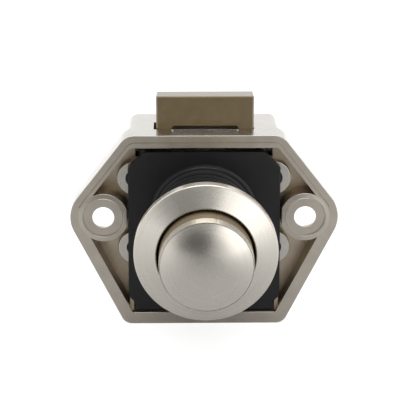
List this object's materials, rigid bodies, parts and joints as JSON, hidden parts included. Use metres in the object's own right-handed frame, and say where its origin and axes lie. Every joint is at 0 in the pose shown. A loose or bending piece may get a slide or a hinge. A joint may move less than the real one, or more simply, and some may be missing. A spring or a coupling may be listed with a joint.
{
  "type": "push button cabinet lock",
  "caption": "Push button cabinet lock: six-sided nickel housing with a spring bolt out of its top, black threaded collar, ring nut and domed button.",
  "frame": {"origin": "on the button's axis, in the plane of the housing's front rim, midway between the two mounting holes", "axes": "-Y out of the door towards the user, +Z the way the bolt stands out, +X to the user's right"},
  "size_m": [0.06, 0.0517, 0.0523],
  "materials": {
    "plated_casting": "bright nickel plate over a die casting, a little uneven",
    "satin_nickel": "turned and satin brushed, nickel plated",
    "black_nylon": "black moulded nylon, fine satin",
    "tan_nylon": "tan moulded nylon, smooth",
    "plated_steel": "zinc plated steel",
    "raw_zinc": "tumbled zinc casting",
    "spring_steel": "drawn spring wire and strip"
  },
  "bodies": {
    "housing": {"housing": "plated_casting", "carrier": "black_nylon", "carrier_screw_upper_left": "plated_steel", "carrier_screw_upper_right": "plated_steel", "carrier_screw_lower_left": "plated_steel", "carrier_screw_lower_right": "plated_steel", "return_spring": "spring_steel", "track_follower": "spring_steel", "follower_clip": "spring_steel", "clip_screw": "plated_steel", "bolt_spring_left": "spring_steel", "bolt_spring_right": "spring_steel", "spring_pin_left": "plated_steel", "spring_pin_right": "plated_steel"},
    "button": {"button_sleeve": "satin_nickel", "button_face": "satin_nickel", "button_core": "black_nylon", "adjusting_stud": "plated_steel", "lock_nut": "plated_steel", "stud_pin": "plated_steel", "plunger": "raw_zinc"},
    "bolt": {"latch_bolt": "tan_nylon"},
    "rosette": {"rosette": "satin_nickel"}
  },
  "joints": [
    {"name": "button_slide", "type": "slide", "parent": "housing", "child": "button", "axis": [0, -1, 0], "range_m": [-0.001, 0.0075], "stiffness_N_per_m": 250, "deforming": ["return_spring", "track_follower"]},
    {"name": "bolt_slide", "type": "slide", "parent": "housing", "child": "bolt", "axis": [0, 0, -1], "range_m": [-0.001, 0.0075], "deforming": ["bolt_spring_left", "bolt_spring_right"]},
    {"name": "rosette_turn", "type": "hinge", "parent": "housing", "child": "rosette", "pos_m": [0, -0.02, 0], "axis": [0, -1, 0], "continuous": true}
  ],
  "couplings": [
    {"joint": "bolt_slide", "follows": "button_slide", "ratio": 1}
  ]
}
